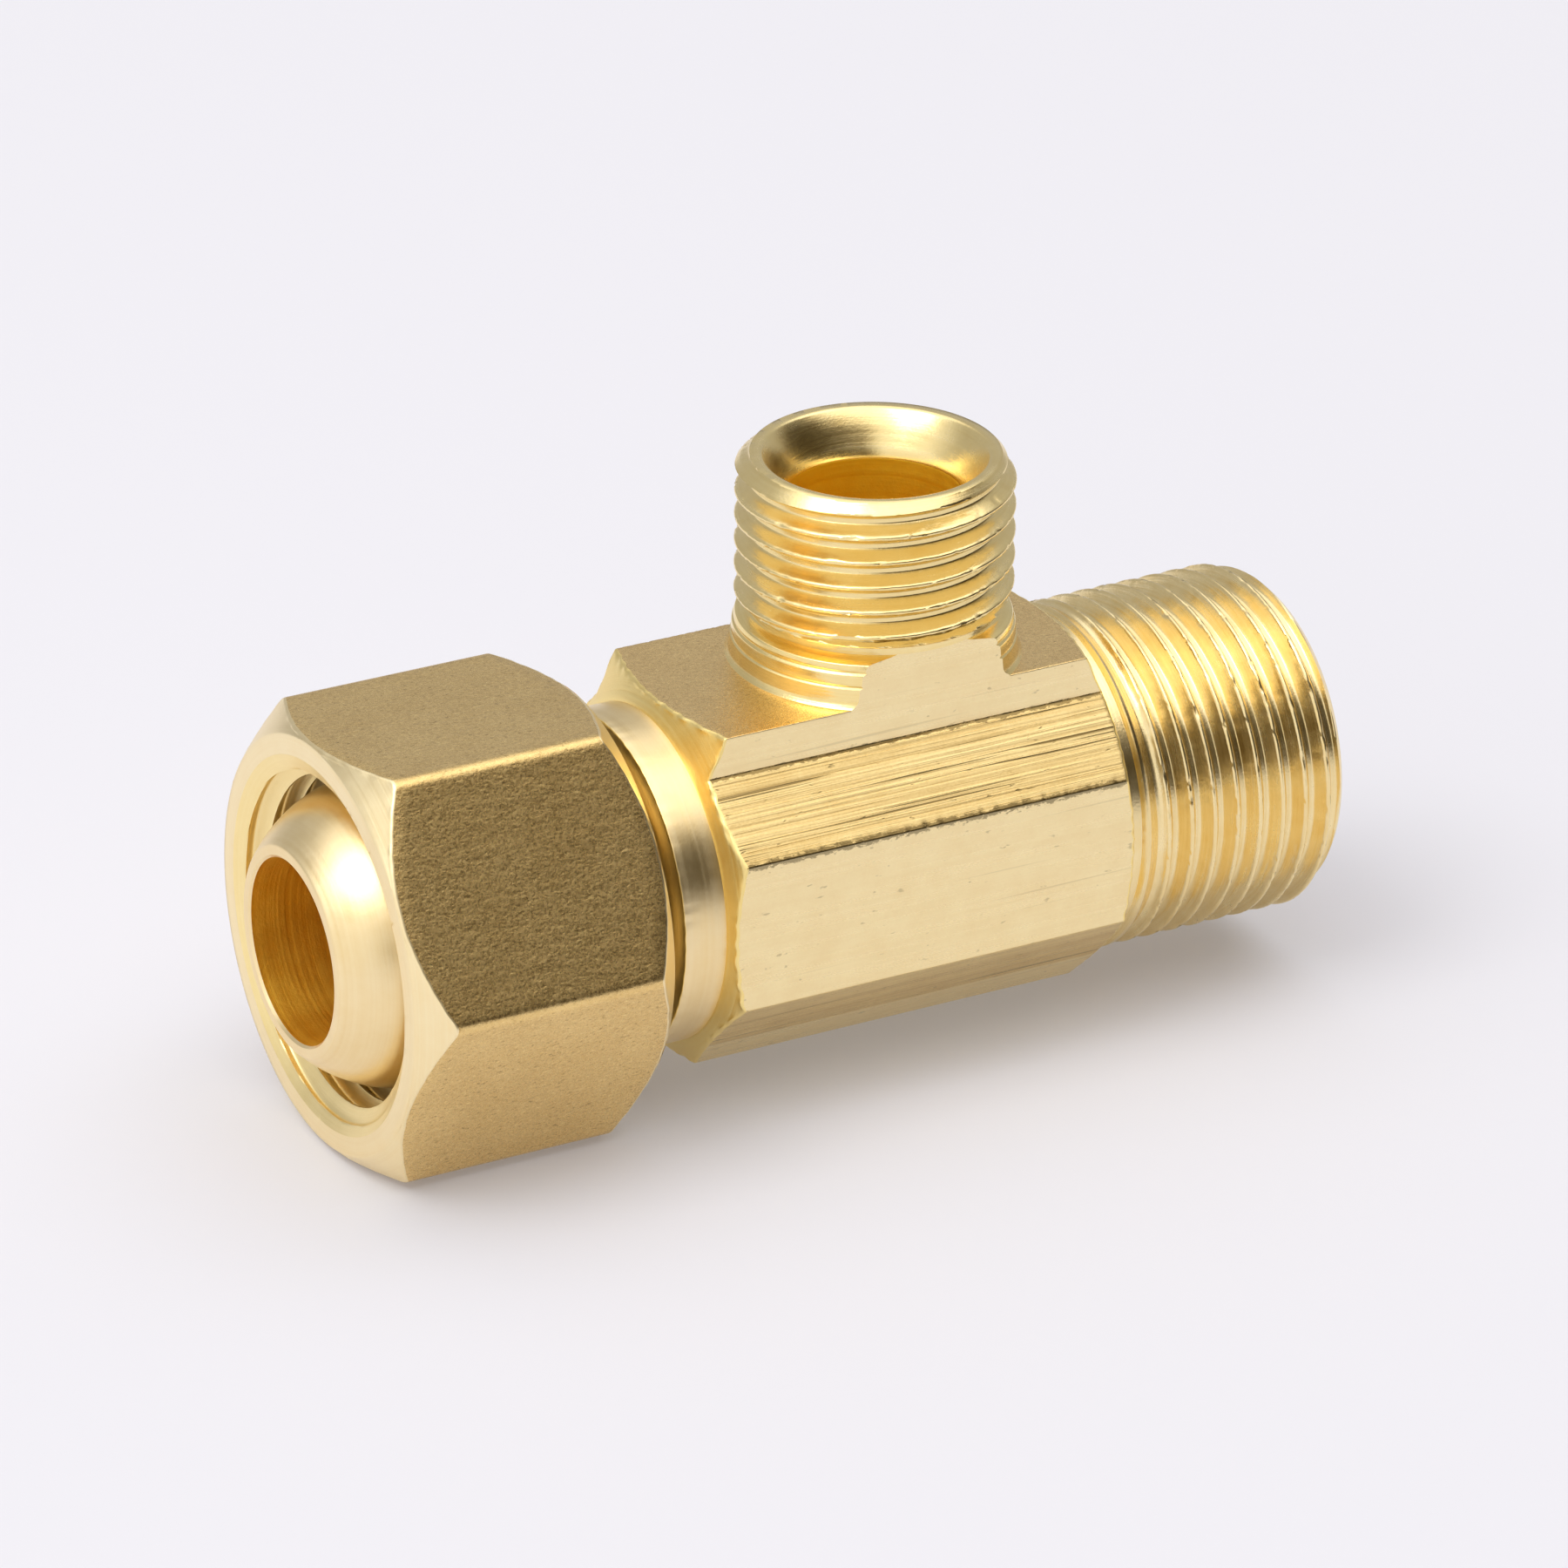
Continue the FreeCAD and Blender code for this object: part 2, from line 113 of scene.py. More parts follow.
class Shader:
    """A small helper that wires one procedural metal."""

    def __init__(self, name):
        self.material = bpy.data.materials.new(name)
        self.material.use_nodes = True
        self.nodes = self.material.node_tree.nodes
        self.links = self.material.node_tree.links
        self.nodes.clear()
        self.out = self.nodes.new("ShaderNodeOutputMaterial")
        self.bsdf = self.nodes.new("ShaderNodeBsdfPrincipled")
        self.links.new(self.bsdf.outputs[0], self.out.inputs[0])
        self.coord = self.nodes.new("ShaderNodeTexCoord").outputs["Object"]

    def put(self, socket, value):
        if hasattr(value, "links") or hasattr(value, "is_linked"):
            self.links.new(value, socket)
        else:
            socket.default_value = value

    def math(self, op, a, b=0.0):
        node = self.nodes.new("ShaderNodeMath")
        node.operation = op
        for socket, value in zip(node.inputs, (a, b)):
            self.put(socket, value)
        return node.outputs[0]

    def weigh(self, *parts):
        """The sum of some values, each times its own weight."""
        total = None
        for value, weight in parts:
            share = self.math("MULTIPLY", value, weight)
            total = share if total is None else self.math("ADD", total, share)
        return total

    def distance(self, a, b):
        """How far a point is from an axis, from its two offsets."""
        square = self.math("ADD", self.math("MULTIPLY", a, a), self.math("MULTIPLY", b, b))
        return self.math("SQRT", square)

    def split(self):
        node = self.nodes.new("ShaderNodeSeparateXYZ")
        self.links.new(self.coord, node.inputs[0])
        return node.outputs

    def join(self, x, y, z):
        node = self.nodes.new("ShaderNodeCombineXYZ")
        for socket, value in zip(node.inputs, (x, y, z)):
            self.put(socket, value)
        return node.outputs[0]

    def scaled(self, vector, factors):
        node = self.nodes.new("ShaderNodeVectorMath")
        node.operation = "MULTIPLY"
        self.links.new(vector, node.inputs[0])
        node.inputs[1].default_value = factors
        return node.outputs[0]

    def noise(self, vector, scale, detail, rough):
        node = self.nodes.new("ShaderNodeTexNoise")
        self.links.new(vector, node.inputs["Vector"])
        node.inputs["Scale"].default_value = scale
        node.inputs["Detail"].default_value = detail
        node.inputs["Roughness"].default_value = rough
        return node.outputs["Fac"]

    def span(self, value, low, high, to_low=0.0, to_high=1.0):
        node = self.nodes.new("ShaderNodeMapRange")
        self.put(node.inputs["Value"], value)
        for key, number in (("From Min", low), ("From Max", high), ("To Min", to_low), ("To Max", to_high)):
            node.inputs[key].default_value = number
        return node.outputs["Result"]

    def mix(self, factor, a, b):
        node = self.nodes.new("ShaderNodeMix")
        node.data_type = "RGBA"
        self.put(node.inputs["Factor"], factor)
        for socket, value in ((node.inputs[6], a), (node.inputs[7], b)):
            self.put(socket, (*value, 1.0) if isinstance(value, tuple) else value)
        return node.outputs[2]

    def seam(self, across, height, width):
        """A painted shade line of uneven width that follows a long edge of the bar, on both sides, standing
        in for the shadow along the edge.
        """
        place = self.split()
        dy = self.math("SUBTRACT", self.math("ABSOLUTE", place[1]), across * MM)
        dz = self.math("SUBTRACT", place[2], height * MM)
        away = self.distance(dy, dz)
        ragged = self.noise(self.scaled(self.coord, (1.0, 2.0, 2.0)), 2600.0, 4.0, 0.7)
        reach = self.span(ragged, 0.38, 0.66, 0.35 * width * MM, 1.9 * width * MM)
        near = self.math("DIVIDE", away, reach)
        return self.span(near, 1.15, 0.75)

    def bump(self, height, strength, distance):
        node = self.nodes.new("ShaderNodeBump")
        node.inputs["Strength"].default_value = strength
        node.inputs["Distance"].default_value = distance
        self.links.new(height, node.inputs["Height"])
        return node.outputs["Normal"]

    def finish(self, color, roughness, normal=None, metallic=1.0):
        self.put(self.bsdf.inputs["Base Color"], (*color, 1.0) if isinstance(color, tuple) else color)
        self.put(self.bsdf.inputs["Roughness"], roughness)
        self.bsdf.inputs["Metallic"].default_value = metallic
        if normal is not None:
            self.links.new(normal, self.bsdf.inputs["Normal"])
        return self.material


def brass_grainy(name, bright, dark, grain, rough, strength, peel):
    """Brass with a fine crystalline grain, as left by blasting or a dull cutter; peel adds soft waves."""
    s = Shader(name)
    fine = s.noise(s.coord, grain, 5.0, 0.75)
    flecks = s.noise(s.scaled(s.coord, (0.6, 1.0, 1.3)), grain * 0.9, 2.0, 0.6)
    broad = s.noise(s.coord, grain * 0.05, 3.0, 0.6)
    soft = s.noise(s.scaled(s.coord, (0.5, 1.0, 1.0)), grain * 0.28, 2.0, 0.5)
    tone = s.weigh((fine, 0.75), (broad, 0.25))
    color = s.mix(s.span(tone, 0.38, 0.62), dark, bright)
    color = s.mix(s.span(flecks, 0.60, 0.72), color, tuple(0.70 * c for c in dark))
    color = s.mix(s.span(flecks, 0.38, 0.28), color, tuple(min(1.0, 1.12 * c) for c in bright))
    height = s.weigh((fine, 0.5), (flecks, 0.3), (soft, peel))
    normal = s.bump(height, strength, 0.00005)
    return s.finish(color, s.span(fine, 0.35, 0.65, rough - 0.06, rough + 0.07), normal)


def brass_turned(name, axis, bright, dark, rough, strength, line=9000.0):
    """Brass cut on a lathe: fine concentric lines about the given axis."""
    s = Shader(name)
    x, y, z = s.split()
    along, a, b = (x, y, z) if axis == "X" else (z, x, y)
    rings = s.join(along, s.distance(a, b), s.math("MULTIPLY", a, 0.02))
    fine = s.noise(rings, line, 2.0, 0.6)
    coarse = s.noise(rings, line * 0.3, 2.0, 0.5)
    cloud = s.noise(s.coord, 900.0, 4.0, 0.65)
    grit = s.noise(s.coord, 9000.0, 2.0, 0.6)
    lines = s.weigh((fine, 0.6), (coarse, 0.4))
    tone = s.weigh((lines, 0.6), (cloud, 0.4))
    color = s.mix(s.span(tone, 0.34, 0.60), dark, bright)
    height = s.weigh((lines, 0.75), (grit, 0.25))
    normal = s.bump(height, strength, 0.00004)
    return s.finish(color, s.span(tone, 0.35, 0.65, rough - 0.05, rough + 0.06), normal)


def brass_drawn(name, bright, dark, rough, strength, stripe):
    """Drawn bar: long scratches and ridges along X, a few of them darker; stripe is how strong they are."""
    s = Shader(name)
    hair = s.noise(s.scaled(s.coord, (0.010, 1.0, 1.0)), 12000.0, 3.0, 0.6)
    ridge = s.noise(s.scaled(s.coord, (0.006, 1.0, 1.0)), 5200.0, 3.0, 0.6)
    band = s.noise(s.scaled(s.coord, (0.004, 1.0, 1.0)), 1500.0, 2.0, 0.5)
    score = s.noise(s.scaled(s.coord, (0.012, 1.0, 1.0)), 5600.0, 1.0, 0.5)
    cloud = s.noise(s.coord, 700.0, 4.0, 0.65)
    grit = s.noise(s.coord, 9000.0, 3.0, 0.65)
    nicks = s.noise(s.scaled(s.coord, (0.45, 1.0, 1.0)), 3600.0, 2.0, 0.55)
    groove = s.span(score, 0.67, 0.73)
    nick = s.span(nicks, 0.68, 0.74)
    lines = s.weigh((ridge, 0.55), (band, 0.45))
    height = s.weigh((hair, 0.25), (lines, stripe), (grit, 0.12), (groove, -0.5 * stripe), (nick, -0.2))
    share = 0.25 + 0.4 * min(1.0, stripe)
    tone = s.weigh((lines, share), (cloud, 0.8 - share), (grit, 0.2))
    base = s.mix(s.span(tone, 0.40, 0.58), dark, bright)
    scored = s.math("MULTIPLY", groove, min(1.0, 1.1 * stripe))
    dull_and_shade = s.math("MAXIMUM", scored, s.math("MULTIPLY", nick, 0.5))
    # painted shade: dark lines along the bar's long edge and along the stem's foot, where the torn edge and
    # the corner lie in shadow
    painted_edge_shade = s.math("MAXIMUM", s.seam(BAR_HALF, BAR_SIDE, 0.15), s.seam(STEM_HALF, STEM_FOOT, 0.08))
    dull_and_shade = s.math("MAXIMUM", dull_and_shade, painted_edge_shade)
    # scored grooves and nicks are darkened as wear; the edge lines in the same mask are painted shade
    color = s.mix(dull_and_shade, base, tuple(0.45 * c for c in dark))
    normal = s.bump(height, strength, 0.00006)
    return s.finish(color, s.span(hair, 0.35, 0.65, rough + 0.05, rough - 0.04), normal)


PALE = (0.98, 0.81, 0.45)
WARM = (0.90, 0.68, 0.30)

blasted = brass_grainy("blasted brass", (0.92, 0.67, 0.29), (0.76, 0.52, 0.20), 8000.0, 0.27, 0.55, 0.45)
milled = brass_grainy("milled brass", (0.95, 0.69, 0.31), (0.80, 0.55, 0.23), 9000.0, 0.26, 0.5, 0.1)
bright_edge = brass_turned("bright turned brass", "X", (0.99, 0.83, 0.50), (0.96, 0.77, 0.42), 0.32, 0.2)
satin_x = brass_turned("satin turned brass", "X",
                       (0.97, 0.79, 0.46), (0.92, 0.71, 0.36), 0.34, 0.22, 5200.0)
turned_x = brass_turned("turned brass, run", "X", PALE, WARM, 0.24, 0.4)
turned_z = brass_turned("turned brass, branch", "Z", (1.0, 0.81, 0.38), (0.94, 0.71, 0.28), 0.20, 0.5)
drawn_smooth = brass_drawn("drawn brass, smooth", PALE, (0.94, 0.75, 0.40), 0.30, 0.22, 0.22)
drawn_ridged = brass_drawn("drawn brass, ridged",
                           (0.93, 0.72, 0.33), (0.74, 0.52, 0.20), 0.30, 0.55, 0.95)
thread_x = brass_turned("threaded brass, run", "X",
                        (0.98, 0.81, 0.40), (0.94, 0.73, 0.31), 0.19, 0.3, 11000.0)
thread_z = brass_turned("threaded brass, branch", "Z",
                        (0.98, 0.80, 0.38), (0.93, 0.71, 0.28), 0.19, 0.3, 11000.0)
thread_nut = brass_turned("threaded brass, nut", "X",
                          (1.0, 0.82, 0.42), (0.96, 0.76, 0.34), 0.36, 0.3, 9000.0)
bore_x = brass_turned("bored brass, run", "X", (1.0, 0.66, 0.09), (0.94, 0.55, 0.05), 0.50, 0.9, 5000.0)
bore_z = brass_turned("bored brass, branch", "Z",
                      (1.0, 0.74, 0.07), (0.98, 0.64, 0.04), 0.52, 0.9, 5000.0)
face_x = brass_turned("faced brass, run", "X", (1.0, 0.80, 0.34), (0.98, 0.74, 0.27), 0.34, 0.5, 6000.0)
face_z = brass_turned("faced brass, branch", "Z",
                      (0.98, 0.80, 0.40), (0.93, 0.71, 0.30), 0.24, 0.35, 6000.0)


def steel_wire():
    """Spring steel with fine drawing lines."""
    s = Shader("spring wire")
    x, y, z = s.split()
    draw = s.noise(s.join(x, s.distance(y, z), 0.0), 16000.0, 2.0, 0.6)
    color = s.mix(s.span(draw, 0.35, 0.65), (0.42, 0.42, 0.41), (0.66, 0.66, 0.65))
    return s.finish(color, s.span(draw, 0.3, 0.7, 0.24, 0.36), s.bump(draw, 0.3, 0.00003))


wire = steel_wire()


# ---------------------------------------------------------------- meshes

def link_object(name, data):
    obj = bpy.data.objects.new(name, data)
    bpy.context.scene.collection.objects.link(obj)
    return obj


def make_mesh(name, vertices, faces, slots, indices):
    """A plain mesh; vertices are in millimetres, and each face has the number of its slot."""
    mesh = bpy.data.meshes.new(name)
    mesh.from_pydata((np.asarray(vertices) * MM).tolist(), [], faces)
    for material in slots:
        mesh.materials.append(material)
    mesh.polygons.foreach_set("material_index", np.asarray(indices, np.int32))
    return mesh


def make_object(name, vertices, faces, slots, indices, sharp=34.0, weld=WELD):
    """A mesh object at the origin, welded and shaded."""
    obj = link_object(name, make_mesh(name, vertices, faces, slots, indices))
    tidy_mesh(obj, sharp, weld)
    return obj


def tidy_mesh(obj, sharp, weld):
    """Weld, turn the normals outward and keep creases of over sharp degrees crisp."""
    work = bmesh.new()
    work.from_mesh(obj.data)
    bmesh.ops.remove_doubles(work, verts=work.verts, dist=weld)
    bmesh.ops.dissolve_degenerate(work, dist=SLIVER, edges=work.edges)
    bmesh.ops.recalc_face_normals(work, faces=work.faces)
    work.to_mesh(obj.data)
    work.free()
    obj.data.shade_smooth()
    obj.data.set_sharp_from_angle(angle=math.radians(sharp))
    obj.data.update()
    odd_edges = sum(1 for faces in edge_use(obj.data) if faces != 2)
    print("PIECE %-22s faces %7d edges without two faces %d" % (obj.name, len(obj.data.polygons), odd_edges))


def edge_use(mesh):
    """How many faces each edge belongs to: 1 at a hole, 4 where the surface touches itself."""
    loops = np.zeros(len(mesh.loops), np.int32)
    mesh.loops.foreach_get("edge_index", loops)
    return np.bincount(loops, minlength=len(mesh.edges))


def lattice(rings, closed=True):
    """Vertices and quads of rings[s][t]; t always wraps, s wraps when closed."""
    count, steps = rings.shape[:2]
    rows = count if closed else count - 1
    s = np.repeat(np.arange(rows), steps)
    t = np.tile(np.arange(steps), rows)
    s2 = (s + 1) % count
    t2 = (t + 1) % steps
    faces = np.stack([s * steps + t, s * steps + t2, s2 * steps + t2, s2 * steps + t], 1)
    return rings.reshape(-1, 3), faces.tolist()


def around_x(a, radius, angle):
    """Points at place a along the run."""
    return np.stack([a, radius * np.cos(angle), radius * np.sin(angle)], -1)


def around_z(a, radius, angle):
    """Points at height a on the branch."""
    return np.stack([radius * np.cos(angle), radius * np.sin(angle), a], -1)


def soften(points):
    """Round the corners of an open outline of (place, radius, round, slot) rows."""
    steps = 3
    out = []
    for i, (a, r, fillet, slot) in enumerate(points):
        here = np.array([a, r])
        if fillet <= 0 or i in (0, len(points) - 1):
            out.append((a, r, slot))
            continue
        before = np.array(points[i - 1][:2]) - here
        after = np.array(points[i + 1][:2]) - here
        cut_in = min(fillet, np.linalg.norm(before) * 0.45)
        cut_out = min(fillet, np.linalg.norm(after) * 0.45)
        start = here + before / np.linalg.norm(before) * cut_in
        end = here + after / np.linalg.norm(after) * cut_out
        previous = points[i - 1][3]
        for k in range(steps + 1):
            u = k / steps
            p = (1 - u) ** 2 * start + 2 * u * (1 - u) * here + u * u * end
            out.append((p[0], p[1], previous if k < steps / 2 else slot))
    return out


def divide(rows, step):
    """Split long stretches of an outline so that its surface can take small marks."""
    out = []
    for (a, r, slot), (a2, r2, _) in zip(rows, rows[1:]):
        parts = max(1, int(math.hypot(a2 - a, r2 - r) / step))
        for k in range(parts):
            u = k / parts
            out.append((a + (a2 - a) * u, r + (r2 - r) * u, slot))
    out.append(rows[-1])
    return out


def waves(angle, seed, low, high, count=14):
    """A smooth closed curve of small ups and downs about a ring, mostly between -1 and 1."""
    pick = np.random.default_rng(seed)
    total = np.zeros_like(angle)
    weight = 0.0
    for _ in range(count):
        times = pick.integers(low, high)
        size = pick.uniform(0.3, 1.0)
        total += size * np.sin(times * angle + pick.uniform(0, 2 * math.pi))
        weight += size * 0.5
    return total / weight


def turned_piece(name, outline, turn, slots, steps, step, marks=()):
    """A closed turned piece; outline rows run once around the section and close on themselves.

    Each mark dents the rows in a range: (places, radii, seed, depth along, depth inward)."""
    rows = divide(soften(outline), step)
    angle = np.linspace(0, 2 * math.pi, steps, endpoint=False)
    rings = []
    index = []
    for a, r, slot in rows:
        place = np.full(steps, a)
        radius = np.full(steps, r)
        for places, radii, seed, depth_a, depth_r in marks:
            if places[0] <= a <= places[1] and radii[0] <= r <= radii[1]:
                place = place + depth_a * waves(angle, seed, 9, 60)
                radius = radius + depth_r * np.minimum(waves(angle, seed + 1, 20, 90), 0.2)
        rings.append(turn(place, radius, angle))
        index.append(slot)
    vertices, faces = lattice(np.array(rings))
    return make_object(name, vertices, faces, slots, np.repeat(index, steps))


# ------------------------------------------------- screw thread, by rule

# the tree's number inputs and their defaults, in metres where they are sizes
THREAD_INPUTS = (
    ("Start", 0.0), ("End", 0.010), ("Pitch", 0.001), ("Crest radius", 0.007), ("Depth", 0.0006),
    ("Crest width", 0.00011), ("Root width", 0.0002), ("Start chamfer", 0.0), ("End chamfer", 0.0006),
    ("Chamfer slope", 1.0), ("Run-out", 0.0004), ("Lead-in", 0.0001), ("First groove", 0.0),
    ("Side", 1.0), ("Torn crest", 0.00003), ("Seed", 1.0),
)


def thread_tree():
    """Geometry Nodes: a helical thread surface along X, grown from its pitch, crest and depth."""
    tree = bpy.data.node_groups.new("Screw thread", "GeometryNodeTree")
    face = tree.interface
    sockets = {}

    def take(name, kind, default=None):
        item = face.new_socket(name, in_out="INPUT", socket_type=kind)
        if default is not None:
            item.default_value = default
        sockets[name] = item.identifier

    for name, default in THREAD_INPUTS:
        take(name, "NodeSocketFloat", default)
    take("Rows per turn", "NodeSocketInt", 24)
    take("Steps around", "NodeSocketInt", THREAD_STEPS)
    take("Material", "NodeSocketMaterial")
    face.new_socket("Geometry", in_out="OUTPUT", socket_type="NodeSocketGeometry")

    nodes, links = tree.nodes, tree.links
    group = nodes.new("NodeGroupInput")
    given = dict(zip(sockets, group.outputs))

    def put(socket, value):
        if isinstance(value, (int, float)):
            socket.default_value = value
        else:
            links.new(value, socket)

    def calc(op, a, b=0.0, clamp=False):
        node = nodes.new("ShaderNodeMath")
        node.operation = op
        node.use_clamp = clamp
        for socket, value in zip(node.inputs, (a, b)):
            put(socket, value)
        return node.outputs[0]

    # a grid of rows and columns that becomes the thread; each row climbs one pitch on its way round
    pitch, start, end = given["Pitch"], given["Start"], given["End"]
    per_turn, around = given["Rows per turn"], given["Steps around"]
    turns = calc("DIVIDE", calc("SUBTRACT", end, start), pitch)
    rows = calc("CEIL", calc("MULTIPLY", calc("ADD", turns, 2.0), per_turn))
    grid = nodes.new("GeometryNodeMeshGrid")
    links.new(rows, grid.inputs["Vertices X"])
    columns = calc("ADD", around, 1.0)
    links.new(columns, grid.inputs["Vertices Y"])

    index = nodes.new("GeometryNodeInputIndex").outputs[0]
    row = calc("FLOOR", calc("DIVIDE", calc("ADD", index, 0.25), columns))
    column = calc("ROUND", calc("SUBTRACT", index, calc("MULTIPLY", row, columns)))
    share = calc("DIVIDE", column, around)
    angle = calc("MULTIPLY", calc("FRACT", calc("ADD", share, 0.000001)), 2 * math.pi)
    lead = calc("ADD", calc("DIVIDE", row, per_turn), calc("SUBTRACT", share, 1.0))
    along = calc("MINIMUM", calc("MAXIMUM", calc("ADD", start, calc("MULTIPLY", lead, pitch)), start), end)

    # the groove: 0 on the crest, 1 at the bottom of a bowl-shaped root
    turn = calc("SUBTRACT", calc("DIVIDE", calc("SUBTRACT", along, given["First groove"]), pitch), share)
    phase = calc("FRACT", calc("ADD", turn, 100.5))
    off = calc("MULTIPLY", calc("ABSOLUTE", calc("SUBTRACT", phase, 0.5)), pitch)
    half_mouth = calc("DIVIDE", calc("SUBTRACT", pitch, given["Crest width"]), 2.0)
    half_root = calc("DIVIDE", given["Root width"], 2.0)
    flank = calc("DIVIDE", calc("SUBTRACT", half_mouth, off),
                 calc("SUBTRACT", half_mouth, half_root), clamp=True)
    ease = calc("MULTIPLY", calc("MULTIPLY", flank, flank),
                calc("SUBTRACT", 3.0, calc("MULTIPLY", flank, 2.0)))
    bowl = calc("MULTIPLY", flank, calc("SUBTRACT", 2.0, flank))
    groove = calc("ADD", calc("MULTIPLY", bowl, 0.45), calc("ADD", calc("MULTIPLY", flank, 0.35),
                  calc("MULTIPLY", ease, 0.20)))
    from_start = calc("SUBTRACT", along, start)
    from_end = calc("SUBTRACT", end, along)
    fade = calc("MULTIPLY", calc("DIVIDE", from_start, given["Run-out"], clamp=True),
                calc("DIVIDE", from_end, given["Lead-in"], clamp=True))

    # torn crests: small bites taken by a worn die
    spot = nodes.new("ShaderNodeCombineXYZ")
    links.new(calc("COSINE", angle), spot.inputs[0])
    links.new(calc("SINE", angle), spot.inputs[1])
    links.new(calc("MULTIPLY", along, 250.0), spot.inputs[2])
    noise = nodes.new("ShaderNodeTexNoise")
    noise.noise_dimensions = "4D"
    links.new(spot.outputs[0], noise.inputs["Vector"])
    links.new(given["Seed"], noise.inputs["W"])
    noise.inputs["Scale"].default_value = 16.0
    noise.inputs["Detail"].default_value = 5.0
    noise.inputs["Roughness"].default_value = 0.7
    bite = calc("MULTIPLY", calc("SUBTRACT", noise.outputs[0], 0.54), 7.0, clamp=True)
    torn = calc("MULTIPLY", calc("MULTIPLY", bite, calc("SUBTRACT", 1.0, groove)),
                calc("MULTIPLY", given["Torn crest"], fade))

    depth = calc("ADD", calc("MULTIPLY", calc("MULTIPLY", groove, given["Depth"]), fade), torn)
    slope = given["Chamfer slope"]
    for chamfer, inward in (("Start chamfer", from_start), ("End chamfer", from_end)):
        bevel = calc("SUBTRACT", given[chamfer], calc("MULTIPLY", inward, slope))
        depth = calc("MAXIMUM", depth, bevel)
    radius = calc("SUBTRACT", given["Crest radius"], calc("MULTIPLY", depth, given["Side"]))
    place = nodes.new("ShaderNodeCombineXYZ")
    links.new(along, place.inputs[0])
    links.new(calc("MULTIPLY", radius, calc("COSINE", angle)), place.inputs[1])
    links.new(calc("MULTIPLY", radius, calc("SINE", angle)), place.inputs[2])

    move = nodes.new("GeometryNodeSetPosition")
    links.new(grid.outputs["Mesh"], move.inputs["Geometry"])
    links.new(place.outputs[0], move.inputs["Position"])
    weld = nodes.new("GeometryNodeMergeByDistance")
    links.new(move.outputs[0], weld.inputs["Geometry"])
    weld.inputs["Distance"].default_value = WELD
    solid = nodes.new("GeometryNodeRealizeInstances")
    links.new(weld.outputs[0], solid.inputs[0])
    paint = nodes.new("GeometryNodeSetMaterial")
    links.new(solid.outputs[0], paint.inputs["Geometry"])
    links.new(given["Material"], paint.inputs["Material"])
    out = nodes.new("NodeGroupOutput")
    links.new(paint.outputs[0], out.inputs[0])
    return tree, sockets


THREAD, THREAD_SOCKETS = thread_tree()


def grow(name, tree, sockets, settings):
    """Run a Geometry Nodes tree on an empty mesh and return the plain result."""
    seed = link_object(name + " rule", bpy.data.meshes.new(name + " rule"))
    modifier = seed.modifiers.new(tree.name, "NODES")
    modifier.node_group = tree
    for key, value in settings.items():
        modifier[sockets[key]] = value
    bpy.context.view_layer.update()
    depsgraph = bpy.context.evaluated_depsgraph_get()
    mesh = bpy.data.meshes.new_from_object(seed.evaluated_get(depsgraph), depsgraph=depsgraph)
    seed.modifiers.remove(modifier)
    bpy.data.objects.remove(seed)
    mesh.name = name
    return mesh


def threaded_piece(name, settings, outline, turn, slots):
    """A turned piece whose outline has a gap that the thread surface fills."""
    inputs = {**settings, "Steps around": THREAD_STEPS, "Material": slots[0]}
    surface = grow(name + " thread", THREAD, THREAD_SOCKETS, inputs)
    if turn is around_z:
        surface.transform(Matrix(((0, 1, 0, 0), (0, 0, 1, 0), (1, 0, 0, 0), (0, 0, 0, 1))))
    rows = divide(soften(outline), 0.6)
    steps = THREAD_STEPS
    angle = np.linspace(0, 2 * math.pi, steps, endpoint=False)
    rings = np.array([turn(np.full(steps, a), np.full(steps, r), angle) for a, r, _ in rows])
    vertices, faces = lattice(rings, closed=False)
    indices = np.repeat([slot for _, _, slot in rows[:-1]], steps)
    rest = make_mesh(name, vertices, faces, slots, indices)
    work = bmesh.new()
    work.from_mesh(rest)
    work.from_mesh(surface)
    work.to_mesh(rest)
    work.free()
    bpy.data.meshes.remove(surface)
    obj = link_object(name, rest)
    tidy_mesh(obj, 50.0, THREAD_WELD)
    return obj


# ---------------------------------------------------------------- profiles

def polygon_outline(corners, rounds, spacing):
    """Points round a polygon with rounded corners, evenly spread along its sides."""
    points = []
    count = len(corners)
    for i in range(count):
        here = np.array(corners[i], float)
        before = np.array(corners[i - 1], float) - here
        after = np.array(corners[(i + 1) % count], float) - here
        before_u, after_u = before / np.linalg.norm(before), after / np.linalg.norm(after)
        half = 0.5 * math.acos(float(np.clip(before_u @ after_u, -1, 1)))
        cut = rounds[i] / math.tan(half)
        start, end = here + before_u * cut, here + after_u * cut
        # a tiny round takes fewer points, so that no two of them are merged
        for u in np.linspace(0, 1, 7 if rounds[i] > 2 * STEP_ROUND else 3):
            points.append((1 - u) ** 2 * start + 2 * u * (1 - u) * here + u * u * end)
        following = np.array(corners[(i + 1) % count], float)
        back = -after_u
        after_next = np.array(corners[(i + 2) % count], float) - following
        after_next_u = after_next / np.linalg.norm(after_next)
        half_next = 0.5 * math.acos(float(np.clip(back @ after_next_u, -1, 1)))
        stop = following + back * rounds[(i + 1) % count] / math.tan(half_next)
        parts = max(2, int(np.linalg.norm(stop - end) / spacing))
        for k in range(1, parts):
            points.append(end + (stop - end) * k / parts)
    return np.array(points)


def prism_rings(section, stations):
    """Rings that follow a section, and their slots; stations gives (place, radius, slot) rows."""
    length = np.hypot(section[:, 0], section[:, 1])
    unit = section / length[:, None]
    rings = []
    slots = []
    for place, radius, slot in stations(length):
        rings.append(np.stack([place + 0 * length, unit[:, 0] * radius, unit[:, 1] * radius], -1))
        slots.append(slot)
    return np.array(rings), slots


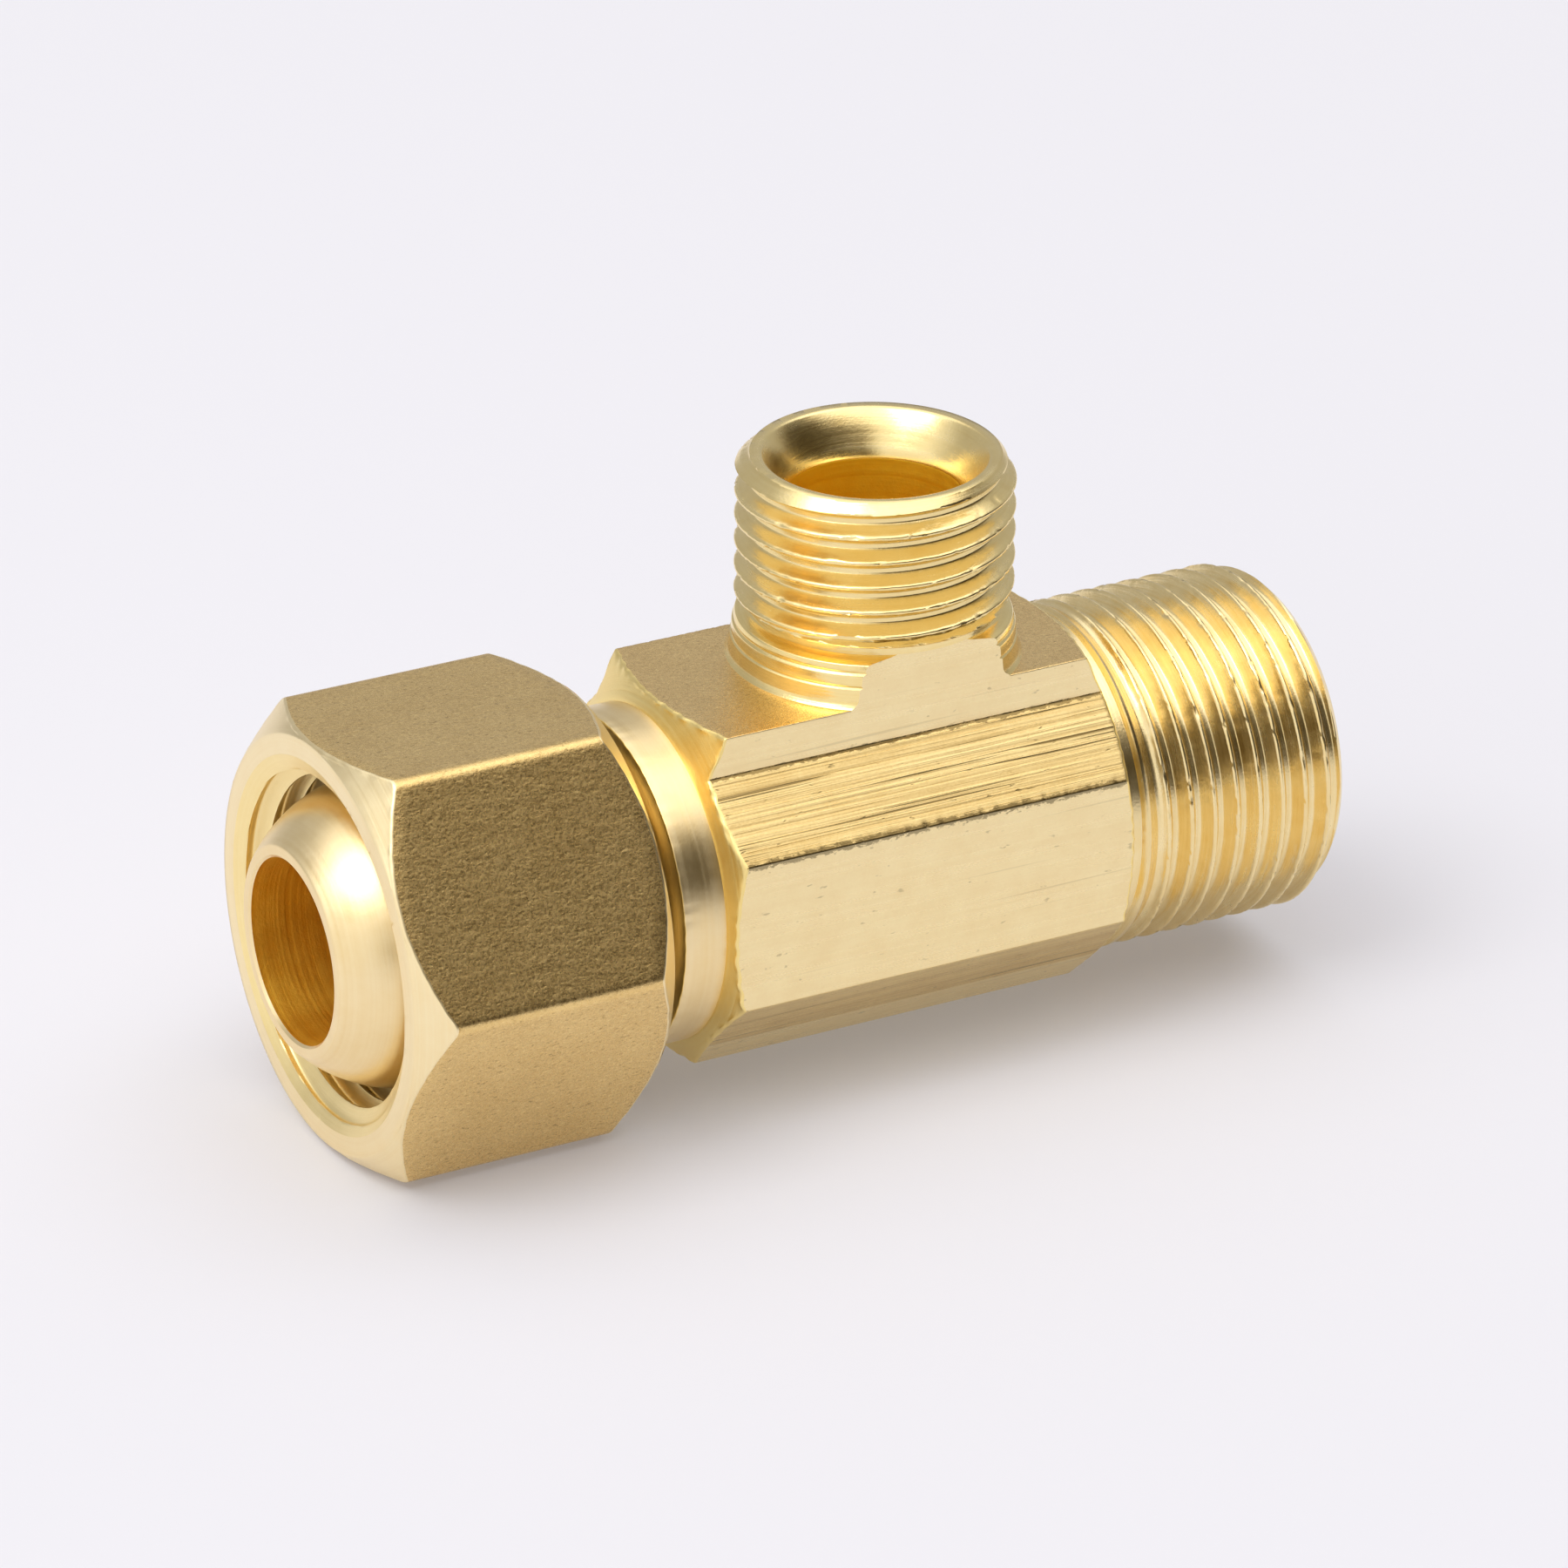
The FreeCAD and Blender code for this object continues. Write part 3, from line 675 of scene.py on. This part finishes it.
def smooth_crease(full, end_r, end_x, way, slope, edge, wobble):
    """Rows (place, radius) of a cone that takes the corners off a bar, from its end face to the flats.

    The cone itself is smooth, and only its far edge is ragged."""
    out = []
    smooth = end_x + way * slope * (full - end_r)
    meet = smooth + way * wobble
    for u in (0.0, 0.2, 0.4, 0.6, 0.75, 0.87, 0.95):
        torn = way * wobble * u ** 12
        place = end_x + (smooth - way * edge - end_x) * u + torn
        out.append((place, end_r + (full - edge * 1.6 - end_r) * u))
    out.append((meet - way * edge, full - edge * 1.6))
    out.append((meet - way * edge * 0.2, full - edge * 0.7))
    out.append((meet + way * edge * 0.5, full - edge * 0.22))
    out.append((meet + way * edge * 1.6, full))
    return out


# ---------------------------------------------------------------- the bar

def make_bar():
    """The drawn bar: an octagon with a stem, a coned end on each side and the waterway through it."""
    # the right half of the section, from the bottom up; the left half is its mirror
    half_section = [
        (BAR_SIDE, -BAR_HALF, BAR_ROUND),
        (BAR_HALF, -BAR_SIDE, BAR_ROUND),
        (BAR_HALF, BAR_SIDE, MILLED_ROUND),
        (STEM_HALF + 0.05, STEM_FOOT - 0.03, STEP_ROUND),
        (STEM_HALF - 0.07, STEM_FOOT + 0.05, STEP_ROUND),
        (STEM_HALF, STEM_FOOT + 0.10, STEP_ROUND / 2),
        (STEM_HALF, FLAT_Z, FLAT_ROUND),
    ]
    outline = half_section + [(-y, z, fillet) for y, z, fillet in reversed(half_section)]
    section = polygon_outline([row[:2] for row in outline], [row[2] for row in outline], BAR_SPACING)
    angle = np.arctan2(section[:, 1], section[:, 0])
    rough = waves(np.linspace(0, 2 * math.pi, BAR_ROWS), 41, 4, 70, 30)
    left_tear = 0.055 * waves(angle, 3, 25, 90) + 0.03 * waves(angle, 4, 2, 9)
    right_tear = 0.045 * waves(angle, 5, 25, 90)
    faced, bored, smooth, top, slanted = range(5)

    def near(half, height, width):
        """1 on a long edge of the bar, fading to 0 away from it."""
        away = np.hypot(np.abs(section[:, 0]) - half, section[:, 1] - height)
        return np.exp(-(away / width) ** 2)

    def stations(full):
        left = smooth_crease(full, COLLAR_R, BAR_L, 1, CONE, BAR_EDGE, left_tear)
        right = smooth_crease(full, RUN_R, BAR_R, -1, CONE, BAR_EDGE, right_tear)
        yield BAR_L, BORE_R, bored
        for place, radius in left[:-1]:
            yield place, radius, faced
        yield *left[-1], smooth
        a, b = left[-1][0], right[-1][0]
        seam = near(BAR_HALF, BAR_SIDE, 0.16)
        rim = near(STEM_HALF, FLAT_Z, 0.10)
        for k, u in enumerate(np.linspace(0, 1, BAR_ROWS)[1:-1]):
            bite = max(0.0, rough[k])
            yield a + (b - a) * u, full - 0.09 * seam * bite - 0.05 * rim * max(0.0, -rough[k]), smooth
        for place, radius in reversed(right[1:]):
            yield place, radius, faced
        yield *right[0], bored
        for x in np.linspace(BAR_R, BAR_L, 16)[:-1]:
            yield x, BORE_R, bored

    rings, marks = prism_rings(section, stations)
    vertices, faces = lattice(rings)
    index = np.repeat(marks, len(section))
    # the flats are told apart by where they are
    mids = np.tile((section + np.roll(section, -1, 0)) / 2, (len(marks), 1))
    flats = index == smooth
    on_top = flats & (mids[:, 1] > FLAT_Z - 0.02)
    on_stem = flats & (np.abs(np.abs(mids[:, 0]) - STEM_HALF) < 0.03) & (mids[:, 1] > STEM_FOOT + 0.1)
    outside = (np.abs(mids[:, 0]) > STEM_HALF - 0.05) & (np.abs(mids[:, 1]) > BAR_SIDE)
    index[flats & outside & ~on_top] = slanted
    index[on_stem] = smooth
    index[on_top] = top
    slots = [face_x, bore_x, drawn_smooth, milled, drawn_ridged]
    obj = make_object("bar_section", vertices, faces, slots, index, 30.0, BAR_WELD)
    boolean(obj, rod("branch drill", BRANCH_BORE, 0.0, FLAT_Z + 2.0, 96, bore_z), "DIFFERENCE")
    tidy_mesh(obj, 30.0, CUT_WELD)
    for face in obj.data.polygons:
        drilled = math.hypot(face.center.x, face.center.y) < BRANCH_BORE * MM * 1.001
        if drilled and face.center.z > BORE_R * MM * 0.6:
            face.material_index = bored
    return obj


def cutting_tool(name, work, material):
    """An object made from a bmesh, for one boolean cut."""
    mesh = bpy.data.meshes.new(name)
    work.to_mesh(mesh)
    work.free()
    mesh.materials.append(material)
    return link_object(name, mesh)


def rod(name, radius, low, high, steps, material):
    work = bmesh.new()
    bmesh.ops.create_cone(work, cap_ends=True, segments=steps, radius1=radius * MM, radius2=radius * MM,
                          depth=(high - low) * MM)
    bmesh.ops.translate(work, verts=work.verts, vec=Vector((0, 0, (high + low) / 2 * MM)))
    return cutting_tool(name, work, material)


def box(name, length, width, low, high, material):
    work = bmesh.new()
    bmesh.ops.create_cube(work, size=1.0)
    for v in work.verts:
        x, y, z = v.co
        v.co = Vector((x * length * MM, y * width * MM, (high + low) / 2 * MM + z * (high - low) * MM))
    return cutting_tool(name, work, material)


def boolean(obj, tool, operation):
    """Cut an object with a tool, which is used up."""
    modifier = obj.modifiers.new("cut", "BOOLEAN")
    modifier.operation = operation
    modifier.solver = "MANIFOLD"
    modifier.object = tool
    depsgraph = bpy.context.evaluated_depsgraph_get()
    mesh = bpy.data.meshes.new_from_object(obj.evaluated_get(depsgraph), depsgraph=depsgraph)
    obj.modifiers.remove(modifier)
    old = obj.data
    obj.data = mesh
    bpy.data.meshes.remove(old)
    bpy.data.objects.remove(tool)


# ---------------------------------------------------------------- ball nose, neck and collar

def make_nose():
    """The ball that seals in the valve's cone, with the neck and collar behind it."""
    lip = math.sqrt(NOSE_R ** 2 - (NOSE_TIP - NOSE_C) ** 2)
    lip_turn = math.pi - math.asin(lip / NOSE_R)
    outline = [(NOSE_TIP, BORE_R + 0.10, 0.0, 0), (NOSE_TIP, lip, 0.10, 0)]
    for turn in np.linspace(lip_turn, math.pi / 2, 46)[1:]:
        outline.append((NOSE_C + NOSE_R * math.cos(turn), NOSE_R * math.sin(turn), 0.0, 0))
    outline += [
        (SHOULDER_X, NOSE_R, 0.15, 0),
        (SHOULDER_X, NECK_R, 0.15, 0),
        (COLLAR_L, NECK_R, 0.25, 2),
        (COLLAR_L, COLLAR_R, 0.07, 0),
        (BAR_L, COLLAR_R, 0.0, 1),
        (BAR_L, BORE_R, 0.0, 1),
        (NOSE_TIP + 0.10, BORE_R, 0.0, 0),
    ]
    marks = [((COLLAR_L - 0.01, COLLAR_L + 0.1), (COLLAR_R - 0.1, COLLAR_R + 0.01), 21, 0.012, 0.03)]
    return turned_piece("ball_nose", outline, around_x, [satin_x, bore_x, face_x], 288, 0.35, marks)


# ---------------------------------------------------------------- outlet

def make_outlet():
    """The run's threaded end, with the tube socket inside."""
    start = RELIEF_X - 0.60
    outline = [
        (OUTLET_END, RUN_R - OUTLET_CHAMFER, 0.0, 1),
        (OUTLET_END, MOUTH_R, 0.05, 1),
        (OUTLET_END - (MOUTH_R - SOCKET_R), SOCKET_R, 0.05, 2),
        (SEAT_X, SOCKET_R, 0.0, 2),
        (SEAT_X, BORE_R, 0.05, 2),
        (BAR_R, BORE_R, 0.0, 2),
        (BAR_R, RELIEF_R, 0.0, 1),
        (start - 0.15, RELIEF_R, 0.0, 1),
        (start, RUN_R, 0.0, 0),
    ]
    settings = {
        "Start": start * MM, "End": OUTLET_END * MM, "Pitch": PITCH * MM, "Crest radius": RUN_R * MM,
        "Depth": THREAD_DEPTH * MM, "End chamfer": OUTLET_CHAMFER * MM,
        "First groove": (RELIEF_X + 0.476) * MM,
        "Run-out": 0.00120, "Lead-in": 0.00002, "Torn crest": 0.00010, "Seed": 4.0,
    }
    return threaded_piece("outlet", settings, outline, around_x, [thread_x, turned_x, bore_x])


# ---------------------------------------------------------------- branch

def make_branch():
    """The threaded branch, with a cup in its mouth and a stepped bore that goes down into the bar."""
    core = STEM_HALF - 0.10
    outline = [
        (BRANCH_TOP, BRANCH_R - BRANCH_CHAMFER, 0.0, 1),
        (BRANCH_TOP, BRANCH_MOUTH, 0.10, 1),
        (BRANCH_TOP - 0.55, BRANCH_MOUTH - 0.42, 0.30, 1),
        (BRANCH_TOP - 1.45, BRANCH_SOCKET + 0.12, 0.30, 1),
        (BRANCH_TOP - 1.75, BRANCH_SOCKET, 0.10, 2),
        (BRANCH_SEAT, BRANCH_SOCKET, 0.0, 2),
        (BRANCH_SEAT, BRANCH_BORE, 0.05, 2),
        (FLAT_Z - 0.02, BRANCH_BORE, 0.0, 2),
        (FLAT_Z - 0.02, core, 0.0, 1),
        (SHOULDER_TOP + 0.32, core, 0.0, 1),
        (SHOULDER_TOP + 0.40, RUNOUT_R, 0.0, 1),
        (RUNOUT_Z, RUNOUT_R + 0.02, 0.05, 1),
        (RUNOUT_Z, BRANCH_R - 0.30, 0.0, 0),
    ]
    settings = {
        "Start": RUNOUT_Z * MM, "End": BRANCH_TOP * MM, "Pitch": PITCH * MM, "Crest radius": BRANCH_R * MM,
        "Depth": THREAD_DEPTH * MM, "Start chamfer": 0.00030, "End chamfer": BRANCH_CHAMFER * MM,
        "First groove": (RUNOUT_Z + 0.37) * MM, "Run-out": 0.00025, "Lead-in": 0.00002,
        "Torn crest": 0.00010, "Seed": 9.0,
    }
    return threaded_piece("branch", settings, outline, around_z, [thread_z, face_z, bore_z])


def make_shoulder():
    """The branch's turned shoulder; its rows are (height above the flat, radius, round)."""
    turned, flat = range(2)
    core = STEM_HALF - 0.30
    profile = [
        (-1.2, core, 0.0),
        (-1.2, FOOT_R, 0.0),
        (0.0, FOOT_R, 0.0),
        (0.20, SHOULDER_R, 0.2),
        (0.78, SHOULDER_R - 0.03, 0.0),
        (0.84, SHOULDER_R - 0.11, 0.03),
        (0.94, SHOULDER_R - 0.07, 0.03),
        (1.36, SHOULDER_R - 0.10, 0.03),
        (1.43, SHOULDER_R - 0.20, 0.03),
        (1.54, SHOULDER_R - 0.16, 0.03),
        (1.76, SHOULDER_R - 0.22, 0.05),
        (1.92, RUNOUT_R + 0.05, 0.06),
        (2.05, RUNOUT_R - 0.10, 0.0),
        (2.10, core, 0.0),
    ]
    outline = [(FLAT_Z + up, radius, fillet, turned) for up, radius, fillet in profile]
    obj = turned_piece("branch_shoulder", outline, around_z, [turned_z, drawn_smooth], 256, 0.4)
    # the stem's flats are carried up through the shoulder, a hair outside the stem's own
    flats = box("flats", 20.0, 2 * STEM_HALF + 0.004, FLAT_Z - 1.0, FLAT_Z + 3.0, drawn_smooth)
    boolean(obj, flats, "INTERSECT")
    tidy_mesh(obj, 30.0, CUT_WELD)
    for face in obj.data.polygons:
        if abs(face.normal.y) > 0.999 and abs(face.center.y) > (STEM_HALF - 0.01) * MM:
            face.material_index = flat
    return obj


# ---------------------------------------------------------------- swivel nut

def make_nut():
    """The captive nut: a hexagon coned at both ends, threaded, relieved and grooved for the ring."""
    blast, bright, bored, threaded = range(4)
    reach = NUT_FLATS / math.sqrt(3)
    corners = []
    for side in range(6):
        turn = NUT_TURN + math.pi / 3 * side
        corners.append((-reach * math.sin(turn), reach * math.cos(turn)))
    section = polygon_outline(corners, [NUT_ROUND] * 6, NUT_SPACING)
    angle = np.arctan2(section[:, 1], section[:, 0])
    front_wave = 0.02 * waves(angle, 31, 20, 80) + 0.03 * waves(angle, 32, 2, 7)
    rear_wave = 0.02 * waves(angle, 33, 20, 80)
    groove_front, groove_rear = RING_X - GROOVE_HALF, RING_X + GROOVE_HALF

    def stations(full):
        front = smooth_crease(full, NUT_CHAMFER_R, NUT_L + 0.03, 1, NUT_SLOPE, NUT_EDGE, front_wave)
        rear = smooth_crease(full, NUT_CHAMFER_R, NUT_R - 0.03, -1, NUT_SLOPE, NUT_EDGE, rear_wave)
        for radius in (NUT_MOUTH, NUT_MOUTH + 0.25, 8.2, NUT_CHAMFER_R - 0.05):
            yield NUT_L, radius, bright
        for place, radius in front[:-1]:
            yield place, radius, bright
        yield *front[-1], blast
        a, b = front[-1][0], rear[-1][0]
        for u in np.linspace(0, 1, 18)[1:-1]:
            yield a + (b - a) * u, full, blast
        for place, radius in reversed(rear):
            yield place, radius, bright
        yield NUT_R, NUT_CHAMFER_R - 0.05, bright
        yield NUT_R, NUT_LIP_R + 0.12, bright
        yield NUT_R - 0.12, NUT_LIP_R, bored
        yield groove_rear, NUT_LIP_R, bored
        yield groove_rear, GROOVE_R, bored
        yield groove_front, GROOVE_R, bored
        yield groove_front, NUT_LIP_R, bored
        yield NUT_RELIEF_END, NUT_LIP_R, bored
        yield NUT_RELIEF_END, NUT_RELIEF_R, bored
        yield NUT_THREAD_END, NUT_RELIEF_R, bored
        yield NUT_THREAD_END, NUT_CREST, bored

    rings, marks = prism_rings(section, stations)
    vertices, faces = lattice(rings, closed=False)
    slots = [blasted, bright_edge, face_x, thread_nut]
    shell = make_mesh("swivel_nut_shell", vertices, faces, slots, np.repeat(marks[:-1], len(section)))
    surface = grow("nut thread", THREAD, THREAD_SOCKETS, {
        "Start": NUT_L * MM, "End": NUT_THREAD_END * MM, "Pitch": PITCH * MM, "Crest radius": NUT_CREST * MM,
        "Depth": (NUT_ROOT - NUT_CREST) * MM, "Start chamfer": (NUT_MOUTH - NUT_CREST) * MM,
        "End chamfer": 0.0, "First groove": (NUT_L - PITCH / 2) * MM, "Chamfer slope": 1.7,
        "Run-out": 0.00002, "Lead-in": 0.0003, "Side": -1.0, "Torn crest": -0.00002, "Seed": 14.0,
        "Steps around": THREAD_STEPS, "Material": thread_nut,
    })
    obj = link_object("swivel_nut_body", shell)
    join_rims(obj, surface, threaded, bright)
    tidy_mesh(obj, 32.0, NUT_WELD)
    return obj


def join_rims(obj, surface, slot, rim_slot):
    """Add a surface to the nut's shell and bridge the two pairs of matching round rims."""
    work = bmesh.new()
    work.from_mesh(obj.data)
    shell_faces = len(work.faces)
    work.from_mesh(surface)
    bmesh.ops.remove_doubles(work, verts=work.verts, dist=NUT_WELD)
    work.faces.ensure_lookup_table()
    for face in work.faces[shell_faces:]:
        face.material_index = slot
    rim = [e for e in work.edges if len(e.link_faces) == 1]
    middle = 0.5 * (NUT_L + NUT_THREAD_END) * MM
    for at_front in (True, False):
        edges = [e for e in rim if ((e.verts[0].co.x + e.verts[1].co.x) / 2 < middle) == at_front]
        made = bmesh.ops.bridge_loops(work, edges=edges)
        for face in made["faces"]:
            face.material_index = rim_slot
    work.to_mesh(obj.data)
    work.free()
    bpy.data.meshes.remove(surface)


# ---------------------------------------------------------------- retaining ring

def make_ring():
    """The split wire ring, whose gap is just beside its top."""
    steps, sides = 180, 20
    turn = ((2 * math.pi - RING_GAP) * np.arange(steps + 1) / steps)[:, None]
    around = (2 * math.pi * np.arange(sides) / sides)[None, :]
    radius = RING_R + RING_WIRE / 2 * np.cos(around)
    place = RING_X + RING_WIRE / 2 * np.sin(around) + 0 * turn
    rings = np.stack([place, -radius * np.sin(turn), radius * np.cos(turn)], -1)
    vertices, faces = lattice(rings, closed=False)
    faces.append(tuple(range(sides)))
    faces.append(tuple(steps * sides + k for k in range(sides)))
    return make_object("retaining_wire", vertices, faces, [wire], [0] * len(faces), 40.0)


for piece in (make_bar(), make_nose(), make_outlet(), make_branch(), make_shoulder()):
    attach(piece, "tee")
    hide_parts("tee_body")
nut = make_nut()
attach(nut, "nut")
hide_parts("swivel_nut")
ring = make_ring()
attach(ring, "ring")
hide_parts("retaining_ring")


# ---------------------------------------------------------------- stage

FLOOR_HALF = 1.6
FLOOR_GLOW = 0.17


def make_floor(level):
    mesh = bpy.data.meshes.new("floor")
    half = FLOOR_HALF
    mesh.from_pydata([(-half, -half, level), (half, -half, level), (half, half, level), (-half, half, level)],
                     [], [(0, 1, 2, 3)])
    s = Shader("pale floor")
    s.finish((0.61, 0.605, 0.645), 0.75, metallic=0.0)
    # a lit sheet: its own even glow fills the soft shadow
    s.bsdf.inputs["Emission Color"].default_value = (0.985, 0.975, 1.0, 1.0)
    s.bsdf.inputs["Emission Strength"].default_value = FLOOR_GLOW
    mesh.materials.append(s.material)
    link_object("floor", mesh)


make_floor(min(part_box(name)[0].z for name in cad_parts))


def soft_box(name, azimuth, height, distance, size, radiance, color=(1.0, 1.0, 1.0)):
    """A light aimed at the part, from an azimuth in degrees from +Y towards +X and a height above level."""
    a, h = math.radians(azimuth), math.radians(height)
    place = distance * Vector((math.sin(a) * math.cos(h), math.cos(a) * math.cos(h), math.sin(h)))
    light = bpy.data.lights.new(name, "AREA")
    light.shape = "RECTANGLE"
    light.size, light.size_y = size
    light.energy = radiance * math.pi * size[0] * size[1]
    light.color = color
    obj = link_object(name, light)
    obj.location = place
    obj.rotation_euler = (-place).to_track_quat("-Z", "Y").to_euler()


soft_box("key", -100.0, 55.0, 0.9, (0.52, 0.46), 3.0, (1.0, 0.99, 0.97))
soft_box("overhead", 89.0, 64.0, 0.9, (0.34, 0.40), 0.6)


def make_room():
    """A pale tent: bright overhead, dimmer at the sides, with one dark opening beside the camera."""
    world = bpy.data.worlds.new("room")
    bpy.context.scene.world = world
    world.use_nodes = True
    nodes, links = world.node_tree.nodes, world.node_tree.links
    back = nodes["Background"]
    direction = nodes.new("ShaderNodeTexCoord").outputs["Generated"]
    parts = nodes.new("ShaderNodeSeparateXYZ")
    links.new(direction, parts.inputs[0])

    def span(value, low, high, to_low, to_high):
        node = nodes.new("ShaderNodeMapRange")
        node.interpolation_type = "SMOOTHSTEP"
        links.new(value, node.inputs["Value"])
        for key, number in (("From Min", low), ("From Max", high), ("To Min", to_low), ("To Max", to_high)):
            node.inputs[key].default_value = number
        return node.outputs["Result"]

    def calc(op, a, b):
        node = nodes.new("ShaderNodeMath")
        node.operation = op
        for socket, value in zip(node.inputs, (a, b)):
            if isinstance(value, float):
                socket.default_value = value
            else:
                links.new(value, socket)
        return node.outputs[0]

    def toward(azimuth):
        """1 straight towards an azimuth, 0 square to it and -1 away from it."""
        a = math.radians(azimuth)
        return calc("ADD", calc("MULTIPLY", parts.outputs[0], math.sin(a)),
                    calc("MULTIPLY", parts.outputs[1], math.cos(a)))

    overhead = span(parts.outputs[2], 0.62, 0.78, 0.0, 1.0)
    low = calc("SUBTRACT", 1.0, overhead)
    dark = span(toward(151.0), 0.35, 0.62, 0.0, 1.0)
    left = span(toward(-125.0), 0.10, 0.75, 0.0, 1.0)
    front = span(toward(-170.0), -0.30, 0.55, 0.0, 1.0)
    side = calc("ADD", 0.46, calc("MULTIPLY", left, 0.50))
    side = calc("MULTIPLY", side, calc("SUBTRACT", 1.0, calc("MULTIPLY", dark, 0.89)))
    top = calc("ADD", 1.25, calc("MULTIPLY", front, 0.45))
    strength = calc("ADD", calc("MULTIPLY", overhead, top), calc("MULTIPLY", low, side))
    links.new(strength, back.inputs["Strength"])
    shade = nodes.new("ShaderNodeMix")
    shade.data_type = "RGBA"
    links.new(calc("MULTIPLY", dark, low), shade.inputs["Factor"])
    shade.inputs[6].default_value = (1.0, 0.99, 1.0, 1.0)
    shade.inputs[7].default_value = (1.0, 0.80, 0.50, 1.0)
    links.new(shade.outputs[2], back.inputs["Color"])


make_room()

CAMERA_PLACE = Vector((-0.16153, -0.28659, 0.15938))
CAMERA_FORWARD = Vector((0.4343, 0.7900, -0.4327))
CAMERA_RIGHT = Vector((0.8783, -0.4780, 0.0090))
CAMERA_LENS, CAMERA_SENSOR = 210.0, 36.0


def make_camera():
    lens = bpy.data.cameras.new("camera")
    lens.lens = CAMERA_LENS
    lens.sensor_width = CAMERA_SENSOR
    lens.clip_start = 0.01
    camera = link_object("camera", lens)
    forward = CAMERA_FORWARD.normalized()
    right = CAMERA_RIGHT.normalized()
    up = right.cross(forward).normalized()
    turn = Matrix((right, up, -forward)).transposed()
    camera.matrix_world = Matrix.Translation(CAMERA_PLACE) @ turn.to_4x4()
    bpy.context.scene.camera = camera


make_camera()
bpy.context.scene.view_settings.view_transform = "Standard"
